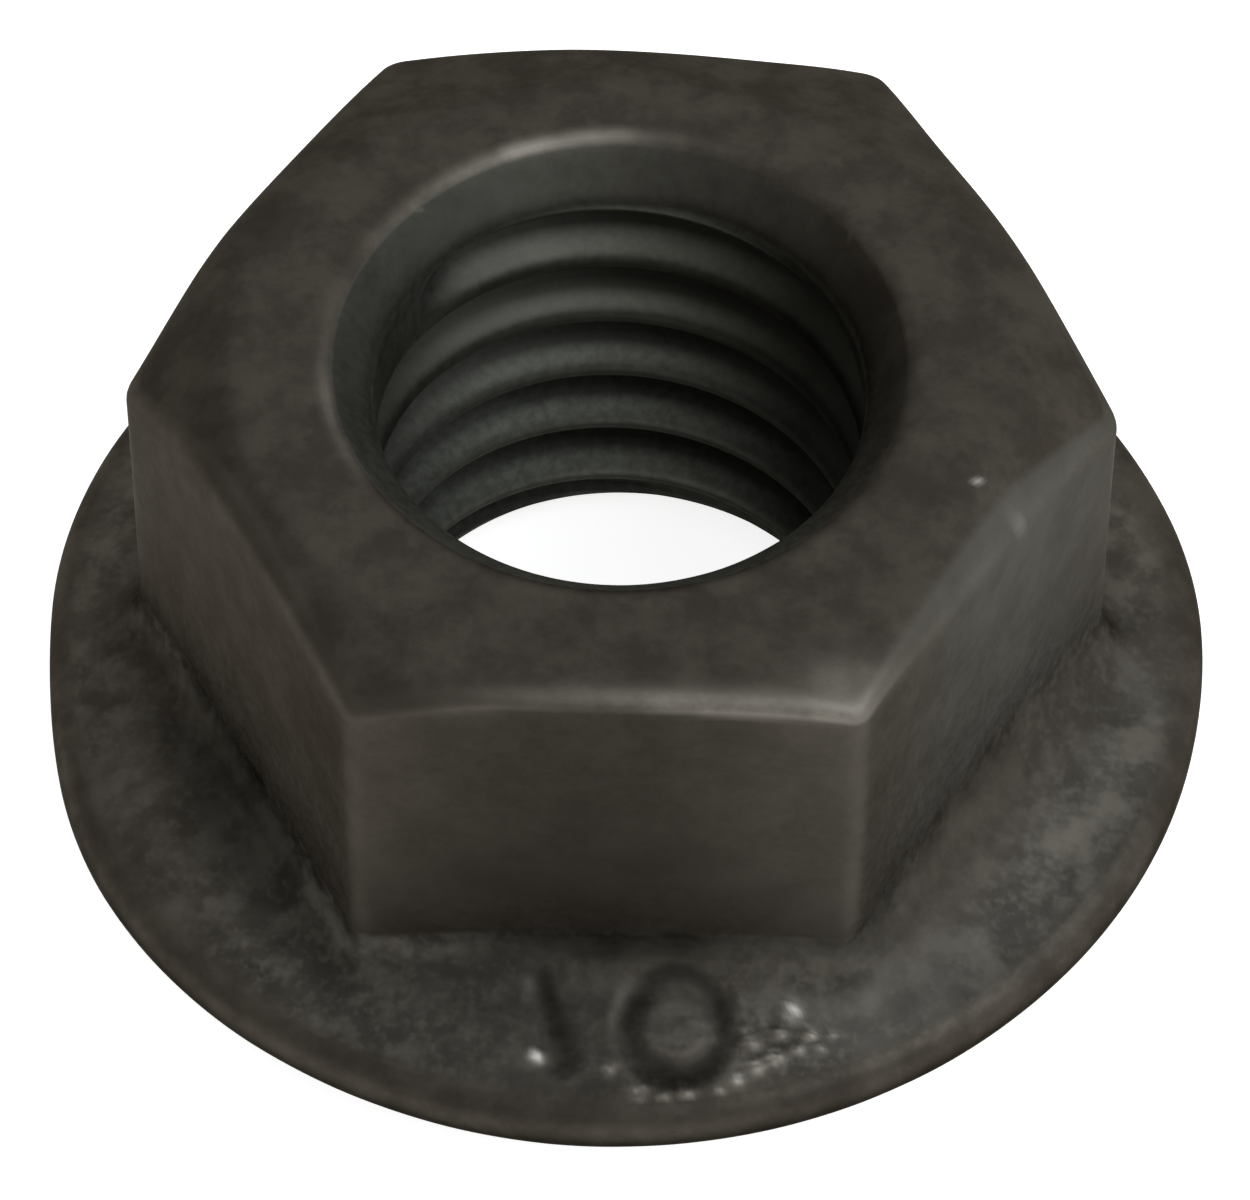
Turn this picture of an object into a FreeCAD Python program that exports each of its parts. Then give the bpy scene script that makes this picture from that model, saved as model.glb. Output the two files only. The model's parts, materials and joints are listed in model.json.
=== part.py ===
import FreeCAD, Part
import math
import os

# Hexagon flange nut with a coarse right-hand thread, forged cold from one blank.
# The origin is the centre of the bearing face. +Z runs up the bore to the top of the hexagon,
# and two of the six flats face -Y and +Y. Lengths are in millimetres and angles in degrees.

# Hexagon
across_flats = 14.8
nut_height = 10.0
corner_radius = 0.3
chamfer_start_diameter = 13.7
chamfer_angle = 26.5
chamfer_shift_x = -0.07
chamfer_shift_y = -0.6

# Flange: it stands out past each flat by its reach. Its upper face slopes, its rim is round, and a taper
# leads from the rim in to the bearing face.
flange_reach = 3.0
flange_slope = 14.0
rim_radius = 0.6
rim_height = 1.45
rim_taper = 36.0
junction_fillet = 0.5

# Threaded bore
thread_diameter = 10.0
thread_pitch = 1.5
countersink_diameter = 10.1
countersink_angle = 90.0

# Sizes that follow from the ones above
flange_diameter = across_flats + 2 * flange_reach
minor_diameter = thread_diameter - 1.0825 * thread_pitch
countersink_depth = (countersink_diameter - minor_diameter) / 2 / math.tan(math.radians(countersink_angle / 2))
rim_centre_radius = flange_diameter / 2 - rim_radius


def section_point(radius, height):
    return FreeCAD.Vector(radius, 0, height)


def rim_point(angle):
    """Point on the rim's arc, at an angle above the horizontal."""
    turn = math.radians(angle)
    return section_point(rim_centre_radius + rim_radius * math.cos(turn), rim_height + rim_radius * math.sin(turn))


def slope_height(radius):
    """Height of the flange's upper face, tangent to the rim, at a distance from the axis."""
    start = rim_point(90 - flange_slope)
    return start.z + (start.x - radius) * math.tan(math.radians(flange_slope))


def lines(points):
    return [Part.LineSegment(a, b).toShape() for a, b in zip(points, points[1:])]


def revolved(edges):
    """Solid swept round the bore's axis by a closed outline in the XZ plane."""
    outline = Part.Face(Part.Wire(edges))
    return outline.revolve(FreeCAD.Vector(0, 0, 0), FreeCAD.Vector(0, 0, 1), 360)


def softened_corner(angle):
    """Arc that rounds the hexagon's upright edge at an angle round the axis."""
    centre_distance = (across_flats / 2 - corner_radius) / math.cos(math.radians(30))
    centre = FreeCAD.Vector(centre_distance, 0, 0)
    spots = []
    for turn in (-30, 0, 30):
        reach = FreeCAD.Vector(corner_radius * math.cos(math.radians(turn)),
                               corner_radius * math.sin(math.radians(turn)), 0)
        spots.append(centre + reach)
    arc = Part.Arc(*spots).toShape()
    arc.rotate(FreeCAD.Vector(0, 0, 0), FreeCAD.Vector(0, 0, 1), angle)
    return arc


def hexagon_prism():
    corners = [softened_corner(60 * number) for number in range(6)]
    edges = []
    for number, corner in enumerate(corners):
        following = corners[(number + 1) % 6]
        edges.append(corner)
        edges.extend(lines([corner.lastVertex(True).Point, following.firstVertex(True).Point]))
    return Part.Face(Part.Wire(edges)).extrude(FreeCAD.Vector(0, 0, nut_height))


def chamfer_cone():
    """Cone that trims the hexagon's top. The forging tool stood off centre, so its axis is shifted."""
    top_radius = chamfer_start_diameter / 2
    base_radius = top_radius + nut_height / math.tan(math.radians(chamfer_angle))
    base = FreeCAD.Vector(chamfer_shift_x, chamfer_shift_y, 0)
    return Part.makeCone(base_radius, top_radius, nut_height, base)


def flange():
    """Disc with a flat bearing face, a round rim and an upper face that slopes up to the hexagon."""
    slope_start = rim_point(90 - flange_slope)
    taper_start = rim_point(-rim_taper)
    bearing_radius = taper_start.x - taper_start.z * math.tan(math.radians(rim_taper))
    edges = lines([taper_start, section_point(bearing_radius, 0), section_point(0, 0),
                   section_point(0, slope_height(0)), slope_start])
    edges.append(Part.Arc(slope_start, rim_point(0), taper_start).toShape())
    return revolved(edges)


def junction_edges(body):
    """Edges where the hexagon's walls run into the flange's slope."""
    found = []
    for edge in body.Edges:
        span = edge.LastParameter - edge.FirstParameter
        spots = [edge.valueAt(edge.FirstParameter + share * span) for share in (0.1, 0.5, 0.9)]
        reaches = [math.hypot(spot.x, spot.y) for spot in spots]
        on_slope = all(abs(spot.z - slope_height(reach)) < 1e-4 for spot, reach in zip(spots, reaches))
        if on_slope and max(reaches) < rim_centre_radius:
            found.append(edge)
    return found


def bore():
    """Room inside the nut: the wall at the thread's minor diameter and a countersink at each end."""
    wall = minor_diameter / 2
    mouth = countersink_diameter / 2
    return revolved(lines([
        section_point(0, 0),
        section_point(mouth, 0),
        section_point(wall, countersink_depth),
        section_point(wall, nut_height - countersink_depth),
        section_point(mouth, nut_height),
        section_point(0, nut_height),
        section_point(0, 0),
    ]))


def flange_nut():
    hexagon = hexagon_prism().common(chamfer_cone())
    body = hexagon.fuse(flange()).removeSplitter()
    body = body.makeFillet(junction_fillet, junction_edges(body))
    return body.cut(bore())


os.makedirs("parts", exist_ok=True)
nut = flange_nut()
nut.exportStep("parts/flange_nut.step")
print("flange_nut:", len(nut.Solids), "solid,", round(nut.Volume, 1), "mm3, valid", nut.isValid())
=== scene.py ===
import bpy
import bmesh
import json
import math
import numpy as np
from mathutils import Matrix, Vector, noise
from types import SimpleNamespace

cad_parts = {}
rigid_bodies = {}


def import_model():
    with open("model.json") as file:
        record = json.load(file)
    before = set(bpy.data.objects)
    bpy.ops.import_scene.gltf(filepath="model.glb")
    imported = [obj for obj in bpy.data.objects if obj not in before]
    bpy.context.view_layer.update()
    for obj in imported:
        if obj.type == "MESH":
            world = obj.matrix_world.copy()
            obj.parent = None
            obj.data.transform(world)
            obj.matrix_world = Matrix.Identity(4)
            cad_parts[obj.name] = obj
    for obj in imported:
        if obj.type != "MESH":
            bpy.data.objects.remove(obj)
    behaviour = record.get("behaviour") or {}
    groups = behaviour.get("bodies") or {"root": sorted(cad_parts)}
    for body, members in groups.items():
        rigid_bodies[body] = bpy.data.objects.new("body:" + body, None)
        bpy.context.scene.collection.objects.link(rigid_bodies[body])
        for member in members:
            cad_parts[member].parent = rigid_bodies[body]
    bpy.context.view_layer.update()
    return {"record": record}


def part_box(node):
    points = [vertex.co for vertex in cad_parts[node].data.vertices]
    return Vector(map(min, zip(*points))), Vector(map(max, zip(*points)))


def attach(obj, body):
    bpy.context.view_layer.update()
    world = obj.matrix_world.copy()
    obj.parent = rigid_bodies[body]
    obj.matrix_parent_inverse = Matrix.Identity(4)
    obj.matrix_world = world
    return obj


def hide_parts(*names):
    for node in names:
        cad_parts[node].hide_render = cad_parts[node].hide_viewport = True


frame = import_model()
print("frame loaded")

mm = 0.001                       # sizes below are in millimetres, the scene is in metres
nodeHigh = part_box("flange_nut")[1]
flangeRadius = nodeHigh[0] / mm
nutHeight = nodeHigh[2] / mm
threadMount = next(m for m in frame["record"]["mounts"] if m["name"] == "thread")
minorRadius = threadMount["dims"]["r_mm"]

# directions round the bore are in degrees: 0 is +X, 90 the far side, 270 the side that faces the camera.
# A stretch of the nut is given by its direction, its spread to both sides and an amount
hexagon = {
    "acrossFlats": 14.8,
    "cornerRadius": 0.42,
    "chamferStart": 6.85,
    "chamferAngle": 26.5,
    "chamferShift": (-0.07, -0.6),   # the forging die stood off centre
    "chamferSoftness": 0.16,
    "topSettle": (-0.03, 0.06),      # keeps the top flat up to where the chamfer's round begins
    "edgeRound": 0.2,
    "edgeLine": 0.05,                # the middle of the worn line along the edge lies this far down the wall
    # stretches where the top's edge is rounder still
    "softEdges": ((270, 30, 0.2), (210, 26, 0.34), (332, 26, 0.34)),
    "fillet": 0.85,
    # where the blend into the flange is wider
    "softFeet": ((325, 30, 0.6),),
    # where the die filled unevenly, and how much lower the top's edge is there
    "unevenFill": ((332, 14, 0.55), (356, 16, 0.48), (180, 13, 0.42), (300, 12, -0.36), (205, 20, 0.12),
                   (90, 55, -0.14)),
    "unevenStart": 6.2,              # it begins at this distance from the axis
    "unevenEnd": 0.8,                # and would be whole this far outside the walls
    "unevenGain": 1.15,
    # how much further out the far side stands
    "swell": ((60, 10, 0.17), (112, 26, 0.12), (30, 16, 0.08), (0, 7, 0.06), (158, 12, 0.08)),
}
flange = {
    "rimRadius": 0.6,
    "rimHeight": 1.45,
    "rimTaper": 36.0,
    "slope": 14.0,
    "edgeRing": 0.12,                # a ring of points this far in keeps the bearing face's edge crisp
    # the forged rim isn't quite round, and falls short in places
    "outOfRound": ((186, 16, 0.24), (305, 40, 0.11), (255, 25, 0.05), (12, 15, -0.12)),
}
thread = {
    "majorRadius": 5.0,
    "pitch": 1.5,
    "countersinkRadius": 5.05,
    "mouthRound": 0.22,
    "mouthFall": 0.176,              # the mouth's round ends this far down the countersink
    "ridgeAtBack": 8.93,             # height of the first full ridge on the far wall
    "crestSoftness": 0.2,
    "coneSoftness": 0.16,
    "runOut": (0.82, 1.12),          # below the top, the groove fades in between these depths
    "runIn": (0.5, 1.1),             # and above the bearing face
    "lastTurn": (-236, -208),        # the groove ends here, in degrees along the helix from the first ridge
    "endSnap": 0.015,                # rows closer than this to an end of the bore lie on it
    # rows over one turn, as shares of the pitch from the middle of the crest
    "rows": (0, 0.07, 0.12, 0.16, 0.2, 0.24, 0.29, 0.35, 0.42, 0.5, 0.58, 0.66, 0.74, 0.82, 0.88, 0.94),
}
grid = {
    "columns": 400,
    "columnStep": 0.05,              # degrees between the directions that columns are chosen from
    "cornerCrowd": (3.0, 2.4),       # more columns at each corner: spread, how many more
    # and under the figures: direction, whole up to an angle, none from another, how many more
    "figureCrowd": (278, 16, 22, 2.0),
    "mouthRows": 5,
    "topRows": 22,
    "topCrowd": 0.8,                 # below 1, the rows of the top crowd towards the edge
    "edgeRows": 6,
    "wallRows": 18,
    "filletRows": 12,
    "slopeRows": 32,
    "rimRows": 12,
    "taperRows": 4,
    "bottomRows": 6,
    "lowerMouthRows": 3,
    "weld": 0.0001,                  # points closer than this are one
    "sliver": 0.00001,               # and edges shorter than this are none
}


def smoothMax(a, b, soft):
    return 0.5 * (a + b + np.sqrt((a - b) ** 2 + soft ** 2))


def smoothMin(a, b, soft):
    return 0.5 * (a + b - np.sqrt((a - b) ** 2 + soft ** 2))


def smoothStep(x, low, high):
    t = np.clip((x - low) / (high - low), 0, 1)
    return t * t * (3 - 2 * t)


def bell(x, width):
    return np.exp(-(x / width) ** 2)


def angleFrom(theta, centre):
    # signed angle in degrees between a place and a direction
    return (np.degrees(theta) - centre + 180) % 360 - 180


def towards(theta, direction, spread):
    # 1 in a direction, fading to both sides
    return bell(angleFrom(theta, direction), spread)


def within(theta, direction, near, far):
    # 1 up to an angle from a direction, and 0 past another
    return 1 - smoothStep(np.abs(angleFrom(theta, direction)), near, far)


def stretches(theta, places):
    # sum of soft stretches round the nut
    return sum(amount * towards(theta, direction, spread) for direction, spread, amount in places)


def columnAngles(count):
    # columns crowd round the six corners and under the stamped figures
    fine = np.radians(np.arange(0, 360, grid["columnStep"]))
    weight = np.ones_like(fine)
    spread, more = grid["cornerCrowd"]
    for corner in range(6):
        weight += more * towards(fine, 60 * corner, spread)
    direction, near, far, more = grid["figureCrowd"]
    weight += more * within(fine, direction, near, far)
    total = np.concatenate([[0], np.cumsum(weight)])
    steps = np.linspace(0, total[-1], count, endpoint=False)
    return np.interp(steps, total, np.append(fine, 2 * math.pi))


def hexRadius(theta, offset=0.0):
    # distance from the axis to the hexagon's outline, or to a line that runs at an offset outside it
    half = hexagon["acrossFlats"] / 2 + offset
    soft = hexagon["cornerRadius"] + offset
    fromFlat = np.abs(np.degrees(theta) % 60 - 30)
    centre = (half - soft) / math.cos(math.radians(30))
    fromCorner = np.radians(30 - fromFlat)
    inArc = np.maximum(soft ** 2 - (centre * np.sin(fromCorner)) ** 2, 0)
    onArc = centre * np.cos(fromCorner) + np.sqrt(inArc)
    onFlat = half / np.cos(np.radians(fromFlat))
    tangent = np.degrees(np.arctan2((half - soft) * math.tan(math.radians(30)), half))
    return np.where(fromFlat < tangent, onFlat, onArc) + stretches(theta, hexagon["swell"])


def topHeight(theta, radius):
    # the chamfer is a cone off the axis, and the die filled unevenly towards some corners
    shiftX, shiftY = hexagon["chamferShift"]
    reach = np.hypot(radius * np.cos(theta) - shiftX, radius * np.sin(theta) - shiftY)
    past = smoothMax(reach - hexagon["chamferStart"], 0, hexagon["chamferSoftness"])
    drop = past * math.tan(math.radians(hexagon["chamferAngle"]))
    share = smoothStep(radius, hexagon["unevenStart"], hexRadius(theta) + hexagon["unevenEnd"])
    drop = drop + stretches(theta, hexagon["unevenFill"]) * share * hexagon["unevenGain"]
    return nutHeight - smoothMax(drop, *hexagon["topSettle"])


def slopeStart():
    # where the flange's slope leaves the round of the rim
    turn = math.radians(90 - flange["slope"])
    rimRadius = flange["rimRadius"]
    radius = flangeRadius - rimRadius + rimRadius * math.cos(turn)
    return radius, flange["rimHeight"] + rimRadius * math.sin(turn)


def slopeHeight(radius):
    start = slopeStart()
    return start[1] + (start[0] - radius) * math.tan(math.radians(flange["slope"]))


def curveRows(start, middle, end, count):
    # rows along a quadratic curve between two points, without the first one
    rows = []
    for step in range(1, count + 1):
        t = step / count
        a, b, c = (1 - t) ** 2, 2 * t * (1 - t), t ** 2
        rows.append((a * start[0] + b * middle[0] + c * end[0], a * start[1] + b * middle[1] + c * end[1]))
    return rows


def straightRows(start, end, count):
    rows = []
    for step in range(1, count + 1):
        t = step / count
        rows.append((start[0] + (end[0] - start[0]) * t, start[1] + (end[1] - start[1]) * t))
    return rows


zones = ("mouth", "top", "edge", "wall", "fillet", "slope", "rim", "under", "bore")


def outerRows(theta):
    # profile from the upper mouth of the bore, over the top and down the outside, to the lower mouth
    rows = []
    names = []

    def add(name, newRows):
        rows.extend(newRows)
        names.extend([name] * len(newRows))

    full = np.ones_like(theta)
    mouth = thread["countersinkRadius"]
    soft = thread["mouthRound"]
    fall = thread["mouthFall"]
    onCone = ((mouth - fall) * full, topHeight(theta, mouth) - fall)
    onTop = ((mouth + soft) * full, topHeight(theta, mouth + soft))
    add("mouth", [onCone])
    add("mouth", curveRows(onCone, (mouth * full, topHeight(theta, mouth)), onTop, grid["mouthRows"]))

    outline = hexRadius(theta)
    edge = hexagon["edgeRound"] * full + stretches(theta, hexagon["softEdges"])
    for step in range(1, grid["topRows"] + 1):
        radius = onTop[0] + (outline - edge - onTop[0]) * (step / grid["topRows"]) ** grid["topCrowd"]
        add("top", [(radius, topHeight(theta, radius))])
    # the edge's curve leaves the top along its slope
    last, height = rows[-1]
    small = 0.01
    slope = (topHeight(theta, last + small) - topHeight(theta, last - small)) / (2 * small)
    crest = height + slope * edge
    wallTop = (outline, crest - edge)
    add("edge", curveRows(rows[-1], (outline, crest), wallTop, grid["edgeRows"]))

    fillet = hexagon["fillet"] * full + stretches(theta, hexagon["softFeet"])
    wallFoot = (outline, slopeHeight(outline) + fillet)
    foot = hexRadius(theta, fillet)
    slopeTop = (foot, slopeHeight(foot))
    add("wall", straightRows(wallTop, wallFoot, grid["wallRows"]))
    add("fillet", curveRows(wallFoot, (outline, slopeHeight(outline)), slopeTop, grid["filletRows"]))

    short = stretches(theta, flange["outOfRound"])
    startRadius, startHeight = slopeStart()
    add("slope", straightRows(slopeTop, (startRadius - short, startHeight * full), grid["slopeRows"]))
    rimRadius = flange["rimRadius"]
    centre = flangeRadius - rimRadius - short
    turns = np.radians(np.linspace(90 - flange["slope"], -flange["rimTaper"], grid["rimRows"] + 1))
    for turn in turns[1:]:
        height = flange["rimHeight"] + rimRadius * math.sin(turn)
        add("rim", [(centre + rimRadius * math.cos(turn), height * full)])
    taperStart = rows[-1]
    bearing = taperStart[0] - taperStart[1] * math.tan(math.radians(flange["rimTaper"]))
    add("under", straightRows(taperStart, (bearing, 0 * full), grid["taperRows"]))
    add("under", [(bearing - flange["edgeRing"], 0 * full)])
    add("under", straightRows(rows[-1], ((mouth + soft) * full, 0 * full), grid["bottomRows"]))
    lowerCone = ((mouth - fall) * full, fall * full)
    add("under", curveRows(rows[-1], (mouth * full, 0 * full), lowerCone, grid["lowerMouthRows"]))
    return rows, names


def threadRadius(offset):
    # sixty-degree form: flat crest at the minor radius, flat root at the major one
    pitch = thread["pitch"]
    away = np.abs((offset / pitch + 0.5) % 1 - 0.5) * pitch
    flank = minorRadius + (away - pitch / 8) * math.sqrt(3)
    soft = thread["crestSoftness"]
    return smoothMin(smoothMax(flank, minorRadius, soft), thread["majorRadius"], soft)


def boreRows(theta, topEnd, bottomEnd):
    # rows follow the helix, so that the crests stay crisp: each turn of columns climbs one pitch
    pitch = thread["pitch"]
    climb = thread["ridgeAtBack"] + pitch * (np.degrees(theta) - 90) / 360
    mouth = thread["countersinkRadius"]
    endRadius = mouth - thread["mouthFall"]
    rows = []
    spare = 2                    # turns past both ends, whose rows fall together there
    for turn in range(-math.ceil(nutHeight / pitch) - spare, spare + 1):
        for share in thread["rows"]:
            height = climb + pitch * (turn + share)
            height = np.where(height > topEnd - thread["endSnap"], topEnd, height)
            height = np.where(height < bottomEnd + thread["endSnap"], bottomEnd, height)
            cone = np.maximum(mouth - (nutHeight - height), mouth - height)
            cut = threadRadius(height - climb) - minorRadius
            cut = cut * smoothStep(nutHeight - height, *thread["runOut"])
            cut = cut * smoothStep(height, *thread["runIn"])
            cut = cut * (1 - smoothStep(np.degrees(theta) + 360 * turn, *thread["lastTurn"]))
            radius = smoothMax(minorRadius + cut, cone, thread["coneSoftness"])
            atEnd = (height >= topEnd) | (height <= bottomEnd)
            rows.append((np.where(atEnd, endRadius, radius), height))
    return rows


def buildNut():
    theta = columnAngles(grid["columns"])
    count = len(theta)
    rows, names = outerRows(theta)
    bore = boreRows(theta, rows[0][1], rows[-1][1])
    names = names + ["bore"] * len(bore)
    points = [np.column_stack([r * np.cos(theta), r * np.sin(theta), z]) for r, z in rows + bore]
    zone = np.repeat([zones.index(name) for name in names], count)
    outer = len(rows)
    perTurn = len(thread["rows"])
    last = len(bore) - 1
    faces = []
    for row in range(outer - 1):
        for column in range(count):
            after = (column + 1) % count
            faces.append((row * count + column, (row + 1) * count + column,
                          (row + 1) * count + after, row * count + after))

    def boreVertex(row, column):
        # past the last column the helix has climbed one turn
        if column == count:
            row, column = min(row + perTurn, last), 0
        return (outer + row) * count + column

    for row in range(last):
        for column in range(count):
            faces.append((boreVertex(row, column), boreVertex(row + 1, column),
                          boreVertex(row + 1, column + 1), boreVertex(row, column + 1)))
    return np.concatenate(points), faces, zone


points, faces, zone = buildNut()
mesh = bpy.data.meshes.new("flangeNut")
mesh.from_pydata([tuple(p * mm) for p in points], [], faces)
mesh.attributes.new("zone", "FLOAT", "POINT").data.foreach_set("value", zone.astype(np.float32))
work = bmesh.new()
work.from_mesh(mesh)
bmesh.ops.remove_doubles(work, verts=work.verts, dist=grid["weld"] * mm)
bmesh.ops.dissolve_degenerate(work, edges=work.edges, dist=grid["sliver"] * mm)
bmesh.ops.recalc_face_normals(work, faces=work.faces)
for face in work.faces:
    face.smooth = True
print("nut body:", len(work.verts), "points,", len(work.faces), "faces,",
      sum(not e.is_manifold for e in work.edges), "open edges")
work.to_mesh(mesh)
work.free()


stamp = {
    "zeroCentre": (1.24, -8.51),
    "zeroRadii": (0.82, 0.82),
    "oneTop": (-1.04, -7.86),
    "oneFoot": (-0.68, -9.12),
    "oneScale": 0.82,                # distances from the one are scaled down, so it is struck broader
    "between": 0.08,                 # x that parts the two figures
    "strokeHalf": 0.25,
    "floor": (0.1, 1.5),             # each stroke rises from its floor between these shares of its half width
    "depth": 0.055,
    "lipHeight": 0.008,
    "lipReach": 0.084,
    "lipMiddle": 1.45,               # in half widths of a stroke
    "lipStart": (7.9, 8.3),          # near the wall the lip fades out, between these distances from the axis
    # beads of metal thrown up beside the figures: direction, distance, radius, height
    "beads": ((262.9, 9.18, 0.13, 0.09), (270.8, 9.30, 0.12, 0.05), (273.8, 9.72, 0.14, 0.06),
              (276.2, 9.82, 0.10, 0.05), (278.5, 9.80, 0.12, 0.05), (281.9, 9.80, 0.09, 0.04),
              (283.9, 9.66, 0.12, 0.05), (286.0, 9.50, 0.15, 0.06), (288.2, 9.44, 0.16, 0.07),
              (291.7, 8.76, 0.17, 0.07), (292.6, 9.22, 0.12, 0.07), (291.0, 9.40, 0.10, 0.06),
              (293.0, 9.50, 0.11, 0.06), (286.2, 9.06, 0.12, 0.05), (294.8, 9.32, 0.10, 0.05),
              (288.1, 8.73, 0.10, 0.05), (286.0, 8.85, 0.10, 0.04), (289.6, 9.06, 0.11, 0.05)),
    "pits": ((289.4, 8.82, 0.09, 0.04), (291.0, 8.94, 0.10, 0.05), (286.8, 9.28, 0.10, 0.05),
             (289.0, 9.20, 0.12, 0.06), (300.8, 8.43, 0.22, 0.10), (279.6, 8.40, 0.12, 0.03),
             (281.0, 8.75, 0.10, 0.03)),
    "beadShare": 0.85,               # how much of these heights shows
    "pitShare": 0.35,
    "crumbling": (0.12, 2, 9),       # noise that breaks up the beads: size, octaves, seed
    "crumbled": (0.75, 0.6),         # what stands of a bead on average, and how much that varies
    # painted glints: bright specks on the flange and the top
    "glints": ((262.9, 9.18, 0.08, 1.4), (326.0, 8.30, 0.06, 0.7), (338.2, 6.57, 0.07, 0.35),
               (291.7, 8.76, 0.09, 0.6), (283.9, 9.66, 0.07, 0.4)),
}


def strokeDistance(x, y):
    # distance from the middle line of the nearest stamped stroke
    zeroX, zeroY = stamp["zeroCentre"]
    wide, high = stamp["zeroRadii"]
    reach = np.hypot((x - zeroX) / wide, (y - zeroY) / high)
    zero = np.abs(reach - 1) * (wide + high) / 2
    ax, ay = stamp["oneTop"]
    bx, by = stamp["oneFoot"]
    along = np.clip(((x - ax) * (bx - ax) + (y - ay) * (by - ay)) / ((bx - ax) ** 2 + (by - ay) ** 2), 0, 1)
    one = np.hypot(x - ax - along * (bx - ax), y - ay - along * (by - ay))
    return np.minimum(zero, one * stamp["oneScale"])


def strokeSide(x, y):
    # how far a place lies to the right of the middle line of its stroke
    zeroX, zeroY = stamp["zeroCentre"]
    reach = np.hypot(x - zeroX, y - zeroY)
    fromRing = (reach - stamp["zeroRadii"][0]) * (x - zeroX) / np.maximum(reach, 0.01)
    footX, footY = stamp["oneFoot"]
    topX, topY = stamp["oneTop"]
    onStroke = footX + (topX - footX) * (y - footY) / (topY - footY)
    return np.where(x < stamp["between"], x - onStroke, fromRing)


def spots(x, y, places):
    # round dots on the flange: the largest of their heights at each place
    height = np.zeros_like(x)
    for direction, distance, radius, amount in places:
        turn = math.radians(direction)
        away = np.hypot(x - distance * math.cos(turn), y - distance * math.sin(turn))
        height = np.maximum(height, amount * bell(away, radius))
    return height


def noiseField(places, size, octaves, seed):
    # fractal noise in about -1 to 1, with features of the given size in millimetres. Each seed reads
    # another part of the noise
    seedStep = (7.31, 3.77, 5.13)
    shift = Vector([seed * step for step in seedStep])
    dimension, lacunarity = 0.9, 2.0
    return np.array([noise.fractal(Vector(p) / size + shift, dimension, lacunarity, octaves) for p in places])


def readSkin(mesh):
    # every point's place, normal and zone, and what the masks are worked out from
    skin = SimpleNamespace()
    total = len(mesh.vertices)
    flat = np.empty(total * 3)
    mesh.vertices.foreach_get("co", flat)
    skin.place = flat.reshape(-1, 3) / mm
    mesh.vertices.foreach_get("normal", flat)
    skin.normal = flat.reshape(-1, 3)
    number = np.empty(total, np.float32)
    mesh.attributes["zone"].data.foreach_get("value", number)
    skin.zone = {name: np.rint(number) == index for index, name in enumerate(zones)}
    skin.onFlats = skin.zone["wall"] | skin.zone["edge"]
    skin.onSlope = skin.zone["slope"] | skin.zone["fillet"]
    skin.onTop = skin.zone["top"] | skin.zone["edge"]
    skin.outside = skin.zone["top"] | skin.onFlats | skin.onSlope
    skin.x, skin.y, skin.z = skin.place.T
    skin.theta = np.arctan2(skin.y, skin.x)
    skin.radius = np.hypot(skin.x, skin.y)
    wall = hexRadius(skin.theta)
    skin.fromWall = skin.radius - wall
    skin.underEdge = topHeight(skin.theta, wall) - skin.z
    skin.edgeAway = np.hypot(skin.fromWall, np.maximum(skin.underEdge, 0) - hexagon["edgeLine"])
    skin.overSlope = skin.z - slopeHeight(skin.radius)
    skin.belowTop = nutHeight - skin.z
    skin.inThread = skin.zone["bore"] * smoothStep(skin.belowTop, *thread["runOut"])
    return skin


unevenness = {
    "broad": (3.0, 2, 1),            # waves left by the die: size, octaves, seed
    "broadHeight": (0.003, 0.009),   # everywhere, and more on the forged skin
    "blotch": (0.7, 3, 2),
    "blotchHeight": (0.001, 0.013),  # everywhere, and more on the flange
    "forgedFrom": (5.0, 5.6),        # the bore was cut and is smooth up to here
    "faceFrom": (0.2, 0.9),          # and the bearing face was pressed flat
    "flangeFrom": (0.1, 0.7),        # from the wall outwards
    "flangeTo": (9.3, 9.8),
}


def formSkin(skin):
    # forging unevenness, and the stamped figures: their floor is rounded and a low lip stands
    # round each stroke
    forged = smoothStep(skin.radius, *unevenness["forgedFrom"]) * smoothStep(skin.z, *unevenness["faceFrom"])
    onFlange = smoothStep(skin.fromWall, *unevenness["flangeFrom"])
    onFlange = onFlange * (1 - smoothStep(skin.radius, *unevenness["flangeTo"]))
    everywhere, more = unevenness["broadHeight"]
    lift = (everywhere + more * forged) * noiseField(skin.place, *unevenness["broad"])
    everywhere, more = unevenness["blotchHeight"]
    lift = lift + (everywhere + more * forged * onFlange) * noiseField(skin.place, *unevenness["blotch"])

    half = stamp["strokeHalf"]
    away = strokeDistance(skin.x, skin.y) / half
    skin.inFront = skin.onSlope & (skin.y < 0)
    skin.pressed = 1 - smoothStep(away, *stamp["floor"])
    lip = bell((away - stamp["lipMiddle"]) * half, stamp["lipReach"])
    lip = lip * smoothStep(skin.radius, *stamp["lipStart"])
    whole, uneven = stamp["crumbled"]
    crumbled = whole + uneven * noiseField(skin.place, *stamp["crumbling"])
    skin.beads = spots(skin.x, skin.y, stamp["beads"]) * crumbled
    skin.pits = spots(skin.x, skin.y, stamp["pits"])
    figures = stamp["lipHeight"] * lip - stamp["depth"] * skin.pressed
    figures = figures + skin.beads * stamp["beadShare"] - skin.pits * stamp["pitShare"]
    lift = lift + np.where(skin.inFront, figures, 0)
    skin.place = skin.place + skin.normal * lift[:, None]


# wear on the edges, beads and rims, with painted highlights on the same edges and rims
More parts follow.
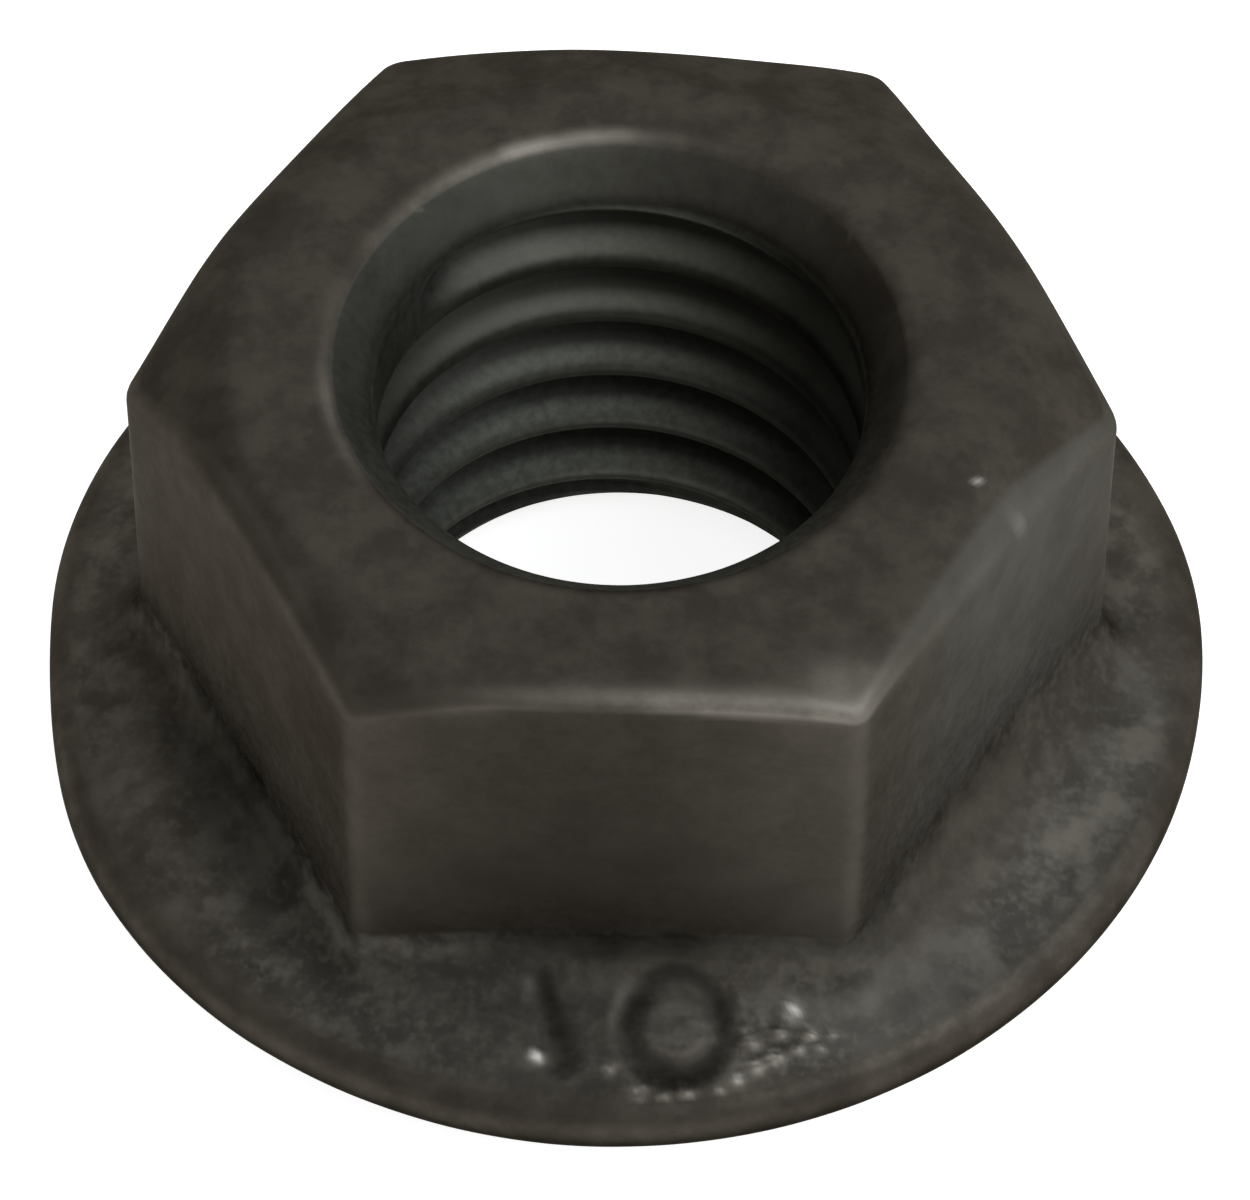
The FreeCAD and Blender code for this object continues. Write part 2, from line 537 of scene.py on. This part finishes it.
wearAndHighlights = {
    "patches": (1.6, 3, 5),          # what breaks up the wear: size, octaves, seed
    "patchEdges": (-0.35, 0.45),
    # the share of each kind of wear and painted highlight that doesn't come in patches
    "even": {"frontEdge": 0.6, "frontCorner": 0.4, "uprights": 0.3, "mouth": 0.4},
    "everyEdge": (0.3, 0.02, 0.04),  # reach, how bright, and how much more in front
    "nick": (337.5, 0.8, 0.22, 0.35),    # painted glint on the right top edge: direction, spread, reach, how bright
    # the front edge is worn and carries a painted highlight
    "frontEdge": ((273, 18, 0.34), (291, 13, 0.68)),
    "frontBand": (0.12, 0.3),        # bright this far in from the edge, then fading
    "frontDepth": (0.1, 0.26),       # and fading down the wall between these depths
    "frontCorner": (4.0, -7.1, 0.9, 0.4),    # worn and painted brighter further in: place, reach, how bright
    "uprights": (1.6, 0.08),         # painted highlight on the upright corners: spread in degrees, how bright
    # painted highlight along the rim of the bore
    "mouth": ((108, 26, 0.7), (192, 20, 0.3)),
    "mouthLine": (5.03, 0.13),       # distance from the axis, reach
    "bareBead": 0.065,               # a bead this high is bare steel
    "insideZero": (0.35, 0.62, 0.16),    # fading between these distances, how bright
}


def wornAndHighlitMask(skin):
    # edges, beads and rims that are worn bright, with painted highlights along them. The far ones get hardly
    # any
    theta, zone = skin.theta, skin.zone
    patches = smoothStep(noiseField(skin.place, *wearAndHighlights["patches"]), *wearAndHighlights["patchEdges"])

    def patchy(place):
        even = wearAndHighlights["even"][place]
        return even + (1 - even) * patches

    reach, bright, more = wearAndHighlights["everyEdge"]
    facing = 0.5 - 0.5 * np.sin(theta)       # 1 in front, 0 at the back
    edge = bell(skin.edgeAway, reach) * (bright + more * facing * patches)
    direction, spread, reach, bright = wearAndHighlights["nick"]
    edge = edge + bell(skin.edgeAway, reach) * bright * towards(theta, direction, spread)
    start, reach = wearAndHighlights["frontBand"]
    edgeBand = skin.onTop * bell(np.maximum(-skin.fromWall - start, 0), reach)
    edgeBand = edgeBand * (1 - smoothStep(skin.underEdge, *wearAndHighlights["frontDepth"]))
    edge = np.maximum(edge, edgeBand * stretches(theta, wearAndHighlights["frontEdge"]) * patchy("frontEdge"))
    cornerX, cornerY, reach, bright = wearAndHighlights["frontCorner"]
    corner = bright * bell(np.hypot(skin.x - cornerX, skin.y - cornerY), reach) * patchy("frontCorner")

    spread, bright = wearAndHighlights["uprights"]
    cornerTurn = np.abs((np.degrees(theta) + 30) % 60 - 30)
    upright = skin.onFlats * bright * bell(cornerTurn, spread) * patchy("uprights")
    middle, reach = wearAndHighlights["mouthLine"]
    mouth = (skin.z > nutHeight / 2) * bell(skin.radius - middle, reach)
    mouth = mouth * stretches(theta, wearAndHighlights["mouth"]) * patchy("mouth")
    near, far, bright = wearAndHighlights["insideZero"]
    zeroX, zeroY = stamp["zeroCentre"]
    island = bright * (1 - smoothStep(np.hypot(skin.x - zeroX, skin.y - zeroY), near, far))
    return np.maximum.reduce([edge * skin.outside, zone["top"] * corner, upright, mouth,
                              skin.inFront * np.maximum(skin.beads / wearAndHighlights["bareBead"], island)])


# painted shade in the stamped strokes and pits and along the foot of the walls
strokeAndFootShade = {
    "inStrokes": 0.8,
    # how dark the painted shade in a stroke is: all of it, and more on the right-hand wall and towards the
    # nut's own wall
    "strokeShade": (0.66, 0.24, 0.22),
    "strokeRight": (-0.25, 0.25),
    "strokeTop": (-8.7, -8.0),
    "perPit": 1.6,                   # for a pit of 1 mm
    "leftFoot": (216, 36),
    "rightFoot": (325, 32),
    # painted shadow along the foot of the walls: everywhere, and what the left and the right add
    "footOut": (0.1, 0.4, 0.45),     # how far from the wall its middle lies
    "footDark": (0.38, 0.32, -0.2),
    "footReach": (0.9, 0.0, 0.25),
    "footLift": 0.1,
    # painted shade on the blends, which would otherwise mirror the table: direction, spread,
    # fading out between these distances from the wall, how dark
    "dullBlends": ((272, 30, 0.06, 0.34, 0.84), (214, 32, 0.3, 0.7, 0.78)),
    "creases": (183, 2),             # directions of two corners with a deep crease at the foot
    "crease": (8.9, 0.6, 0.5),       # painted shade in each crease: distance from the axis, reach, how dark
}


def strokeAndFootShadeMask(skin):
    # painted shade in the strokes and pits, and along the foot of the walls
    everywhere, onRight, atTop = strokeAndFootShade["strokeShade"]
    shaded = everywhere + onRight * smoothStep(strokeSide(skin.x, skin.y), *strokeAndFootShade["strokeRight"])
    shaded = shaded + atTop * smoothStep(skin.y, *strokeAndFootShade["strokeTop"])
    struck = skin.inFront * (skin.pressed * strokeAndFootShade["inStrokes"] * shaded + skin.pits * strokeAndFootShade["perPit"])

    left = towards(skin.theta, *strokeAndFootShade["leftFoot"])
    right = towards(skin.theta, *strokeAndFootShade["rightFoot"])
    out, dark, reach = (base + left * onLeft + right * onRight for base, onLeft, onRight in
                        (strokeAndFootShade["footOut"], strokeAndFootShade["footDark"], strokeAndFootShade["footReach"]))
    away = np.hypot(skin.fromWall - out, skin.overSlope - strokeAndFootShade["footLift"])
    mask = np.maximum(struck, skin.outside * dark * bell(away, reach))
    for direction, spread, near, far, dark in strokeAndFootShade["dullBlends"]:
        blend = towards(skin.theta, direction, spread) * (1 - smoothStep(skin.fromWall, near, far))
        mask = np.maximum(mask, skin.zone["fillet"] * dark * blend)
    distance, reach, dark = strokeAndFootShade["crease"]
    creases = spots(skin.x, skin.y, [(direction, distance, reach, dark) for direction in strokeAndFootShade["creases"]])
    return np.maximum(mask, skin.onSlope * creases)


# darker stretches of the outside, painted as shade
darkStretches = {
    "chamferScale": (208, 30, 0.4),  # painted shade in a band along the chamfer
    "scaleFrom": (6.5, 6.8),         # from the axis outwards
    "scaleTo": (0.1, 0.35),          # and from the edge inwards
    "leftEdge": (212, 30, 0.2),
    "leftEdgeReach": 0.45,
    # painted shade on the front flat
    "frontFlat": (266, 30, 0.56),
    "frontFrom": (0.06, 0.24),       # down from the top's edge
    "frontFoot": (1.3, 0.2857),      # lighter at the foot again: height, by what share
    "alongRim": (240, 44, 0.26),
    "rimLine": (9.65, 0.35),         # distance from the axis, reach
    "rightSlope": (320, 28, 0.36),
    "rightFrom": (8.8, 9.6),         # from the axis outwards
    "leftSlope": (195, 25, 0.16),
    "frontRim": (282, 26, 0.16),
    "frontTop": (265, 28, 0.12),
    "underRim": (1.15, 1.9, 0.8),    # painted shade under the rim: whole up to a height, none from another, how dark
}


def darkMask(skin):
    # stretches of the outside painted darker than the rest, as shade
    dark, zone = darkStretches, skin.zone
    chamferBand = smoothStep(skin.radius, *dark["scaleFrom"]) * smoothStep(-skin.fromWall, *dark["scaleTo"])
    height, share = dark["frontFoot"]
    front = smoothStep(skin.underEdge, *dark["frontFrom"]) * (1 - share * bell(skin.overSlope, height))
    middle, reach = dark["rimLine"]
    places = {
        "chamferScale": zone["top"] * chamferBand,
        "leftEdge": skin.onTop * bell(skin.edgeAway, dark["leftEdgeReach"]),
        "frontFlat": skin.onFlats * front,
        "alongRim": skin.onSlope * bell(skin.radius - middle, reach),
        "rightSlope": skin.onSlope * smoothStep(skin.radius, *dark["rightFrom"]),
        "leftSlope": skin.onSlope,
        "frontRim": zone["rim"],
        "frontTop": zone["top"],
    }
    low, high, amount = dark["underRim"]
    mask = (zone["rim"] | zone["under"]) * amount * (1 - smoothStep(skin.z, low, high))
    for name, place in places.items():
        mask = np.maximum(mask, place * stretches(skin.theta, [dark[name]]))
    return mask


boreLight = {
    "litFrom": (0.0, 0.15),          # the light begins this far above the middle of each crest
    "litTo": (0.3, 0.48),            # and ends here
    "litHigher": (2.3, 0.6, 0.08),   # but higher near one depth: depth, reach, how much
    "left": (175, 55),
    "leftDark": 0.78,
    "rightDark": (0, 40, 95, 0.95),  # direction, whole up to an angle, none from another, how dark
    "frontDark": (240, 50, 0.7),
    "grooveDark": (0.94, -0.5),      # everywhere, and what the left adds
    "ontoCrest": 0.02,               # of the pitch: points so little under a crest belong to the turn above
    # painted shade on the countersink
    "cone": 0.55,
    "conePale": (50, 20, -0.1),
    "coneDark": (165, 30, 70, 0.18),
}


def boreMask(skin):
    # inside, light reaches each crest and the flank above it: the deep of the groove, the sides of the bore
    # that the light misses and the countersink are painted dark as shade
    theta, pitch = skin.theta, thread["pitch"]
    climb = thread["ridgeAtBack"] + pitch * (np.degrees(theta) % 360 - 90) / 360
    above = (skin.z - climb + pitch / 4) % pitch - pitch / 4
    depth, reach, higher = boreLight["litHigher"]
    litUpTo = above - higher * bell(skin.belowTop - depth, reach)
    lit = smoothStep(above, *boreLight["litFrom"]) * (1 - smoothStep(litUpTo, *boreLight["litTo"]))
    alongHelix = np.degrees(theta) % 360 + 360 * np.floor((skin.z - climb) / pitch + boreLight["ontoCrest"])
    grooved = 1 - smoothStep(alongHelix, *thread["lastTurn"])

    left = towards(theta, *boreLight["left"])
    direction, near, far, amount = boreLight["rightDark"]
    side = amount * within(theta, direction, near, far) + boreLight["leftDark"] * left
    side = np.maximum(side, stretches(theta, [boreLight["frontDark"]]))
    everywhere, onLeft = boreLight["grooveDark"]
    shade = side + (1 - side) * (1 - lit) * grooved * (everywhere + onLeft * left)
    direction, near, far, amount = boreLight["coneDark"]
    cone = boreLight["cone"] + stretches(theta, [boreLight["conePale"]])
    cone = cone + amount * within(theta, direction, near, far)
    return np.maximum(skin.inThread * shade, (skin.zone["bore"] - skin.inThread) * cone)


# colour tints, and painted light on the right-hand side and in the bore
tintsAndPaintedLight = {
    "palerRight": (336, 30, 0.28),   # painted light on the right-hand side
    "palerFlange": ((336, 30, -0.06), (303, 13, 0.22), (250, 38, 0.15)),    # and what the flange adds
    "endAt": (9.6, 10.15),           # the flange's tints fade out between these distances from the axis
    "awayFromFoot": (0.6, 1.7),      # and less painted light near the wall on the right
    "palerAtFoot": -0.8,
    "scuffed": 0.4,
    "scuffedMore": ((238, 15, 0.6), (330, 25, 0.6)),
    "scuffedFront": (294, 15),
    "scuffedAtFoot": -0.85,
    "cone": (20, 60, 0.45),          # the countersink is tinted grey all round but here, which is left dark as painted shade
    "thread": 0.32,
    "threadDeep": (2.5, 7.0, 0.68),  # painted light, more between these depths
    "firstTurn": (1.4, 0.9, 0.32),   # and painted light at this one: depth, reach, how much
    "flats": 0.5,
}


def flangeLightAndScuffs(skin):
    # painted light on the right-hand side and the flange, and where the scale is scuffed off in flakes
    theta = skin.theta
    inside = 1 - smoothStep(skin.radius, *tintsAndPaintedLight["endAt"])
    right = towards(theta, *strokeAndFootShade["rightFoot"])
    nearFoot = skin.onSlope * right * (1 - smoothStep(skin.fromWall, *tintsAndPaintedLight["awayFromFoot"]))
    paler = (skin.onFlats | skin.onSlope | skin.zone["rim"]) * stretches(theta, [tintsAndPaintedLight["palerRight"]])
    paler = paler + skin.onSlope * stretches(theta, tintsAndPaintedLight["palerFlange"])
    scuffed = tintsAndPaintedLight["scuffed"] + stretches(theta, tintsAndPaintedLight["scuffedMore"])
    scuffed = skin.onSlope * np.maximum(scuffed, towards(theta, *tintsAndPaintedLight["scuffedFront"]))
    return (paler * inside * (1 + tintsAndPaintedLight["palerAtFoot"] * nearFoot),
            scuffed * inside * (1 + tintsAndPaintedLight["scuffedAtFoot"] * nearFoot))


def boreTint(skin):
    # the cut thread is greyer than the forged skin, with painted light added deeper down and at the first
    # turn
    direction, spread, amount = tintsAndPaintedLight["cone"]
    cone = skin.zone["bore"] * amount * (1 - towards(skin.theta, direction, spread))
    low, high, more = tintsAndPaintedLight["threadDeep"]
    deep = tintsAndPaintedLight["thread"] + more * smoothStep(skin.belowTop, low, high)
    depth, reach, more = tintsAndPaintedLight["firstTurn"]
    deep = deep + more * bell(skin.belowTop - depth, reach)
    return np.maximum(cone, skin.inThread * deep)


def ageNut(mesh):
    # moves the points and stores the masks that the material reads
    skin = readSkin(mesh)
    formSkin(skin)
    mesh.vertices.foreach_set("co", (skin.place * mm).ravel())
    paler, scuffed = flangeLightAndScuffs(skin)
    masks = {
        # worn edges, with painted highlights
        "worn": wornAndHighlitMask(skin),
        # painted shade
        "hollow": np.maximum.reduce([strokeAndFootShadeMask(skin), darkMask(skin), boreMask(skin)]),
        # grey of the cut thread, with painted light
        "inBore": boreTint(skin),
        # painted light
        "paler": paler,
        "scuffed": scuffed,
        "onFlats": skin.onFlats * tintsAndPaintedLight["flats"],
        # painted glints
        "bare": (skin.onSlope | skin.zone["top"]) * spots(skin.x, skin.y, stamp["glints"]),
    }
    for name, values in masks.items():
        values = np.clip(values, 0, 1).astype(np.float32)
        mesh.attributes.new(name, "FLOAT", "POINT").data.foreach_set("value", values)
    mesh.attributes.remove(mesh.attributes["zone"])
    mesh.update()


ageNut(mesh)
nut = bpy.data.objects.new("forgedFlangeNut", mesh)
bpy.context.collection.objects.link(nut)
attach(nut, "root")
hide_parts("flange_nut")
print("figures, beads and unevenness added")


def linear(hexColour):
    channels = [int(hexColour[i:i + 2], 16) / 255 for i in (1, 3, 5)]
    return [c / 12.92 if c <= 0.04045 else ((c + 0.055) / 1.055) ** 2.4 for c in channels] + [1.0]


def addNode(tree, kind, settings=None, inputs=None, links=None):
    node = tree.nodes.new(kind)
    for name, value in (settings or {}).items():
        setattr(node, name, value)
    for name, value in (inputs or {}).items():
        node.inputs[name].default_value = value
    for name, source in (links or {}).items():
        tree.links.new(source, node.inputs[name])
    return node


def blackOxideOnForgedSteel():
    # a hot alkaline bath turns the skin of the steel to black magnetite, sealed with oil: a dark,
    # slightly brown half-gloss with mottling from the forging scale, worn to grey metal on the edges
    # over the oxide lie painted light, painted highlights and glints, and painted shade
    look = {
        "oxideDark": "#403b35",
        "oxideLight": "#4e4942",
        "mottleEdges": (0.36, 0.66),     # the noise values that are all dark and all light
        "pressedFlats": "#47423b",   # the die pressed the six flats even
        # painted light on the right-hand side
        "paleSide": "#737672",
        "flangeLight": "#726e65",
        # grey of the cut thread, and painted light in the bore
        "boreTint": "#8e9187",
        # worn steel and painted highlight
        "wornMetal": "#a39e94",
        # painted glint
        "bareMetal": "#f0ede6",
        # painted shade
        "oilInHollows": "#12110d",
        "roughness": (0.47, 0.57),
        "roughEdges": (0.3, 0.7),
        "roughInBore": 0.72,         # the thread's oily film scatters more
        "grazingTint": (0.4, 0.4, 0.4, 1),   # the oxide film keeps glancing reflections low
        "bumpHeight": 0.02,          # mm
        "bumpOutside": 0.06,
        "bumpInBore": 0.07,
        "speckInBump": 0.75,         # the rest is grain
    }
    # size in mm and detail of each noise. The oxide's own grain is finer, and is drawn coarser to show
    noises = {"mottle": (1.1, 5), "blotch": (0.8, 3), "speck": (0.2, 3), "grain": (0.07, 2)}
    noiseRoughness = 0.66
    # what lies over the dark oxide: mask, noise that breaks it up, from, to, share at either end, colour
    layers = (
        ("onFlats", "mottle", 0.2, 0.8, 1.0, 1.0, "pressedFlats"),
        # painted light
        ("paler", "mottle", 0.2, 0.8, 0.7, 1.0, "paleSide"),
        ("scuffed", "blotch", 0.4, 0.68, 0.0, 0.9, "flangeLight"),
        ("scuffed", "speck", 0.45, 0.75, 0.0, 0.55, "flangeLight"),
        # grey of the cut thread, with painted light deeper down
        ("inBore", "speck", 0.3, 0.7, 0.6, 0.98, "boreTint"),
        # wear, with painted highlights
        ("worn", "speck", 0.25, 0.75, 0.7, 1.0, "wornMetal"),
        # painted shade
        ("hollow", "mottle", 0.2, 0.8, 0.92, 0.88, "oilInHollows"),
        # painted glints
        ("bare", "speck", 0.2, 0.8, 1.0, 1.0, "bareMetal"),
    )
    material = bpy.data.materials.new("blackOxideForgedSteel")
    material.use_nodes = True
    tree = material.node_tree
    tree.nodes.clear()
    place = addNode(tree, "ShaderNodeTexCoord").outputs["Object"]
    made = {}
    for name, (size, detail) in noises.items():
        made[name] = addNode(tree, "ShaderNodeTexNoise", {}, {"Scale": 1 / (size * mm), "Detail": detail,
                             "Roughness": noiseRoughness}, {"Vector": place}).outputs["Fac"]

    low, high = look["mottleEdges"]
    share = addNode(tree, "ShaderNodeMapRange", {"interpolation_type": "SMOOTHSTEP"},
                    {"From Min": low, "From Max": high}, {"Value": made["mottle"]})
    base = addNode(tree, "ShaderNodeMix", {"data_type": "RGBA"},
                   {6: linear(look["oxideDark"]), 7: linear(look["oxideLight"])},
                   {0: share.outputs["Result"]})
    colour = base.outputs[2]
    masks = {}
    for name, noiseName, low, high, atLow, atHigh, colourName in layers:
        masks[name] = addNode(tree, "ShaderNodeAttribute", {"attribute_name": name}).outputs["Fac"]
        broken = addNode(tree, "ShaderNodeMapRange", {"interpolation_type": "SMOOTHSTEP"},
                         {"From Min": low, "From Max": high, "To Min": atLow, "To Max": atHigh},
                         {"Value": made[noiseName]})
        share = addNode(tree, "ShaderNodeMath", {"operation": "MULTIPLY", "use_clamp": True}, {},
                        {0: masks[name], 1: broken.outputs["Result"]})
        over = addNode(tree, "ShaderNodeMix", {"data_type": "RGBA"}, {7: linear(look[colourName])},
                       {0: share.outputs["Value"], 6: colour})
        colour = over.outputs[2]

    low, high = look["roughEdges"]
    smoothest, roughest = look["roughness"]
    skinRough = addNode(tree, "ShaderNodeMapRange", {"interpolation_type": "SMOOTHSTEP"},
                        {"From Min": low, "From Max": high, "To Min": smoothest, "To Max": roughest},
                        {"Value": made["speck"]})
    rough = addNode(tree, "ShaderNodeMix", {"data_type": "FLOAT"}, {3: look["roughInBore"]},
                    {0: masks["inBore"], 2: skinRough.outputs["Result"]})
    height = addNode(tree, "ShaderNodeMix", {"data_type": "FLOAT"}, {0: look["speckInBump"]},
                     {2: made["grain"], 3: made["speck"]})
    strength = addNode(tree, "ShaderNodeMapRange", {},
                       {"To Min": look["bumpOutside"], "To Max": look["bumpInBore"]},
                       {"Value": masks["inBore"]})
    bump = addNode(tree, "ShaderNodeBump", {}, {"Distance": look["bumpHeight"] * mm},
                   {"Height": height.outputs[0], "Strength": strength.outputs["Result"]})
    skin = addNode(tree, "ShaderNodeBsdfPrincipled", {},
                   {"Metallic": 1.0, "Specular Tint": look["grazingTint"]},
                   {"Base Color": colour, "Roughness": rough.outputs[0], "Normal": bump.outputs["Normal"]})
    addNode(tree, "ShaderNodeOutputMaterial", {}, {}, {"Surface": skin.outputs["BSDF"]})
    return material


mesh.materials.append(blackOxideOnForgedSteel())
print("black oxide finish ready")

studio = {
    "floorReach": 3.0,               # m
    "floorGap": 0.02,                # mm below the bearing face, so that the two don't flicker
    "floorColour": "#e8e8e8",
    "floorRoughness": 0.9,
    "floorGloss": 0.1,
    "floorGlow": 0.84,               # a lit white table: the light also comes up through the bore
    "skyLow": "#8a8680",
    "skyHigh": "#f4f6f8",
    "skySpread": (-0.8, 0.95),
    "skyStrength": 1.0,
    "skyTowards": (0.62, 0.42, 0.66),
}
# soft boxes: direction round the nut, height angle, distance and size in metres, radiance, colour
softBoxes = {
    "windowRight": (-28, 48, 0.40, 0.26, 3.2, "#f3f7ff"),
}


def layTable():
    reach = studio["floorReach"]
    level = -studio["floorGap"] * mm
    corners = [(-reach, -reach, level), (reach, -reach, level), (reach, reach, level), (-reach, reach, level)]
    floorMesh = bpy.data.meshes.new("litTable")
    floorMesh.from_pydata(corners, [], [(0, 1, 2, 3)])
    floor = bpy.data.objects.new("litTable", floorMesh)
    bpy.context.collection.objects.link(floor)
    card = bpy.data.materials.new("mattWhiteTable")
    card.use_nodes = True
    cardSkin = card.node_tree.nodes["Principled BSDF"]
    cardSkin.inputs["Base Color"].default_value = linear(studio["floorColour"])
    cardSkin.inputs["Roughness"].default_value = studio["floorRoughness"]
    cardSkin.inputs["Specular IOR Level"].default_value = studio["floorGloss"]
    cardSkin.inputs["Emission Color"].default_value = (1, 1, 1, 1)
    cardSkin.inputs["Emission Strength"].default_value = studio["floorGlow"]
    floorMesh.materials.append(card)


def lightStudio():
    world = bpy.data.worlds.new("softStudio")
    bpy.context.scene.world = world
    world.use_nodes = True
    tree = world.node_tree
    sky = tree.nodes["Background"]
    sky.inputs["Strength"].default_value = studio["skyStrength"]
    direction = addNode(tree, "ShaderNodeTexCoord").outputs["Generated"]
    facing = addNode(tree, "ShaderNodeVectorMath", {"operation": "DOT_PRODUCT"}, {1: studio["skyTowards"]},
                     {0: direction})
    low, high = studio["skySpread"]
    share = addNode(tree, "ShaderNodeMapRange", {}, {"From Min": low, "From Max": high},
                    {"Value": facing.outputs["Value"]})
    fade = addNode(tree, "ShaderNodeMix", {"data_type": "RGBA"}, {6: linear(studio["skyLow"]),
                   7: linear(studio["skyHigh"])}, {0: share.outputs["Result"]})
    tree.links.new(fade.outputs[2], sky.inputs["Color"])

    for name, (turn, lift, distance, size, radiance, colour) in softBoxes.items():
        data = bpy.data.lights.new(name, "AREA")
        data.shape = "DISK"
        data.size = size
        data.color = linear(colour)[:3]
        data.energy = radiance * math.pi * math.pi * size ** 2 / 4
        box = bpy.data.objects.new(name, data)
        bpy.context.collection.objects.link(box)
        flat = math.cos(math.radians(lift)) * distance
        box.location = (flat * math.cos(math.radians(turn)), flat * math.sin(math.radians(turn)),
                        math.sin(math.radians(lift)) * distance)
        box.rotation_euler = box.location.to_track_quat("Z", "Y").to_euler()


layTable()
lightStudio()

view = {
    "elevation": 52.43,
    "turn": 1.6,                     # degrees round the nut, from straight in front
    "roll": 0.30,
    "distance": 130.0,
    "aimRight": 0.09,
    "aimUp": -4.15,
    "lens": 220.1,
    "sensor": 36,
    "nearest": 1.0,
    "farthest": 10000.0,
}


def placeCamera():
    lift = math.radians(view["elevation"])
    ahead = Vector((0, math.cos(lift), -math.sin(lift)))
    right = Vector((1, 0, 0))
    up = right.cross(ahead)
    roll = math.radians(view["roll"])
    rolledRight = math.cos(roll) * right + math.sin(roll) * up
    rolledUp = math.cos(roll) * up - math.sin(roll) * right
    place = rolledRight * view["aimRight"] + rolledUp * view["aimUp"] - ahead * view["distance"]
    axes = Matrix((rolledRight, rolledUp, -ahead)).transposed().to_4x4()
    data = bpy.data.cameras.new("camera")
    data.sensor_fit = "HORIZONTAL"
    data.sensor_width = view["sensor"]
    data.lens = view["lens"]
    data.clip_start = view["nearest"] * mm
    data.clip_end = view["farthest"] * mm
    camera = bpy.data.objects.new("camera", data)
    bpy.context.collection.objects.link(camera)
    turn = Matrix.Rotation(math.radians(view["turn"]), 4, "Z")
    # the camera's place counts from the top of the nut
    ontoNut = Matrix.Translation((0, 0, nutHeight * mm))
    camera.matrix_world = turn @ ontoNut @ Matrix.Translation(place * mm) @ axes
    bpy.context.scene.camera = camera


placeCamera()
bpy.context.scene.view_settings.view_transform = "Standard"
print("light and camera ready")
